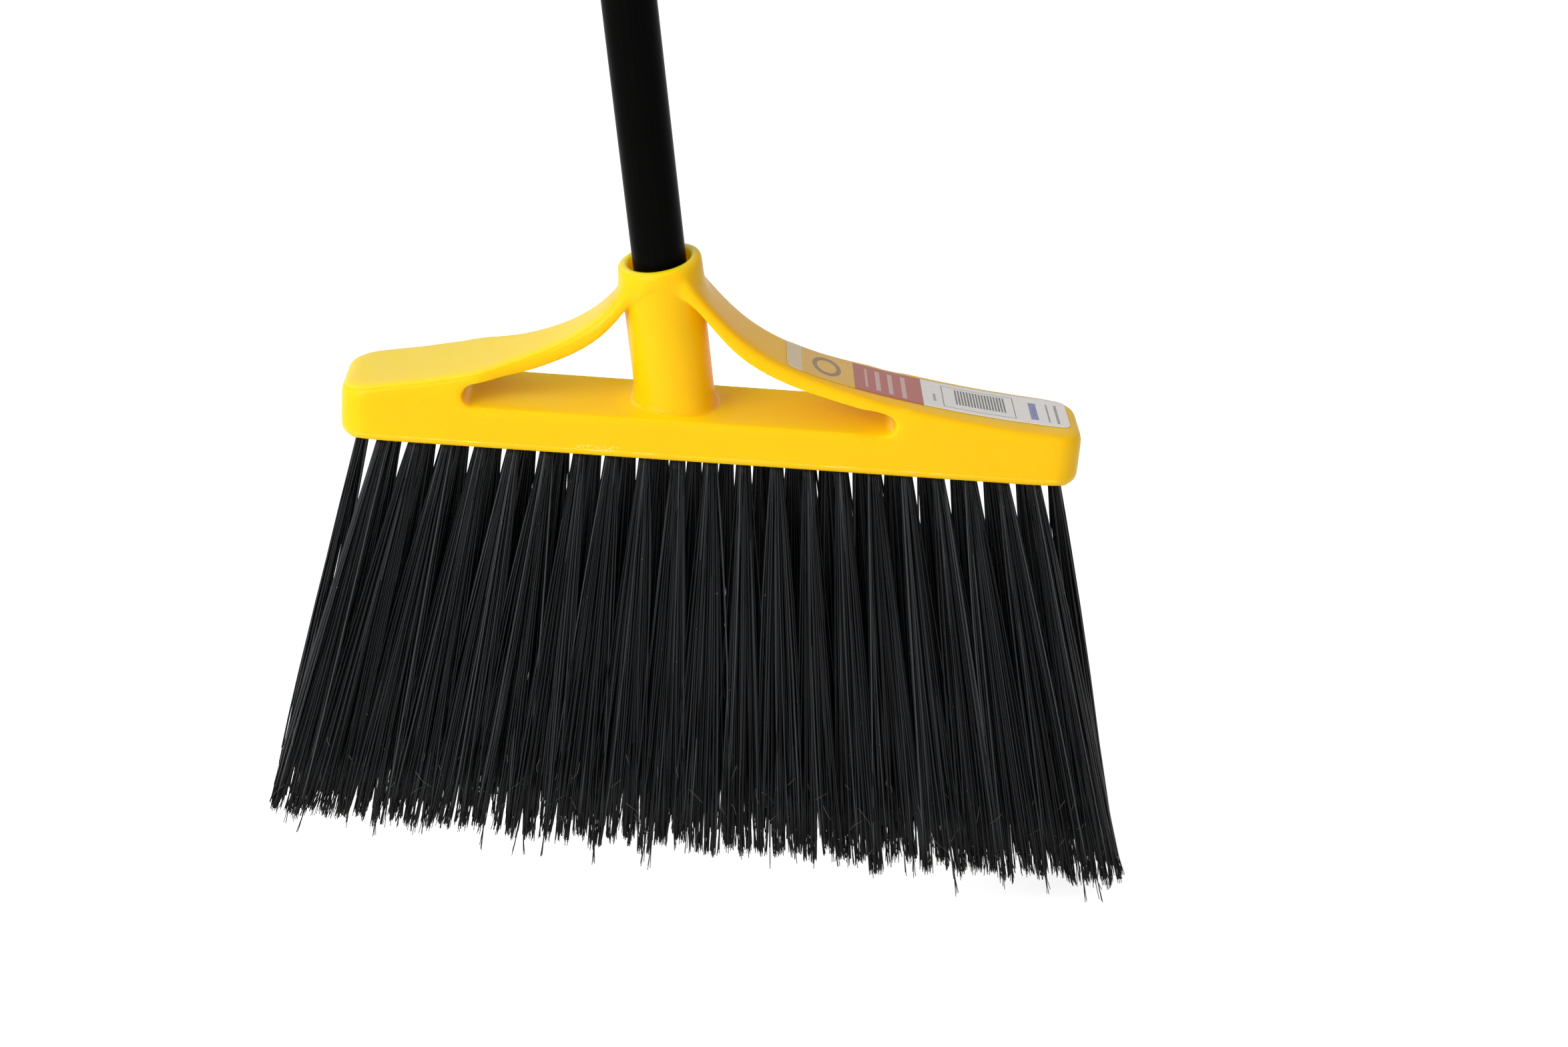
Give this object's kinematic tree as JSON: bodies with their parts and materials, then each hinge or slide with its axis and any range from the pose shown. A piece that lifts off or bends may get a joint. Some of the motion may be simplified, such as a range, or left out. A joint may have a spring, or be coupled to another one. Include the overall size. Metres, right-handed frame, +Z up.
{
  "type": "angle broom",
  "caption": "Angle broom: slanted moulded block with arms rising to a threaded socket, flared stiff bristle tufts, and a long metal handle with a swivelling hang cap.",
  "frame": {"origin": "middle of the hang hole in the cap, on the handle's axis", "axes": "+Z up along the handle's axis, +Y through the hang hole away from the front, +X along the broom to the lower end of its slanted block"},
  "size_m": [0.3842, 0.053, 1.4843],
  "materials": {
    "block_plastic": "semi-gloss moulded polypropylene, warm yellow",
    "bristle": "satin black extruded filament with flagged tips",
    "anchor_steel": "bright cut strip",
    "handle_coating": "glossy black coated steel tube",
    "tip_plastic": "black moulded nylon",
    "cap_plastic": "black moulded polypropylene",
    "label_film": "printed film label, left without words"
  },
  "bodies": {
    "cap": {"hang_cap": "cap_plastic"},
    "handle": {"handle_tube": "handle_coating", "threaded_tip": "tip_plastic"},
    "head": {"broom_head": "block_plastic", "tuft_column_01": "bristle", "tuft_column_02": "bristle", "tuft_column_03": "bristle", "tuft_column_04": "bristle", "tuft_column_05": "bristle", "tuft_column_06": "bristle", "tuft_column_07": "bristle", "tuft_column_08": "bristle", "tuft_column_09": "bristle", "tuft_column_10": "bristle", "tuft_column_11": "bristle", "tuft_column_12": "bristle", "tuft_column_13": "bristle", "tuft_column_14": "bristle", "tuft_column_15": "bristle", "tuft_column_16": "bristle", "tuft_column_17": "bristle", "tuft_column_18": "bristle", "tuft_column_19": "bristle", "tuft_column_20": "bristle", "tuft_column_21": "bristle", "tuft_column_22": "bristle", "tuft_anchors": "anchor_steel", "product_label": "label_film"}
  },
  "joints": [
    {"name": "handle_turn", "type": "hinge", "parent": "cap", "child": "handle", "pos_m": [0, 0, 0], "axis": [0, 0, 1], "range_deg": [0, 1800]},
    {"name": "head_unscrew", "type": "slide", "parent": "cap", "child": "head", "axis": [0, 0, -1], "range_m": [0, 0.0254]}
  ],
  "couplings": [
    {"joint": "handle_turn", "follows": "head_unscrew", "rad_per_m": 1236.8}
  ]
}
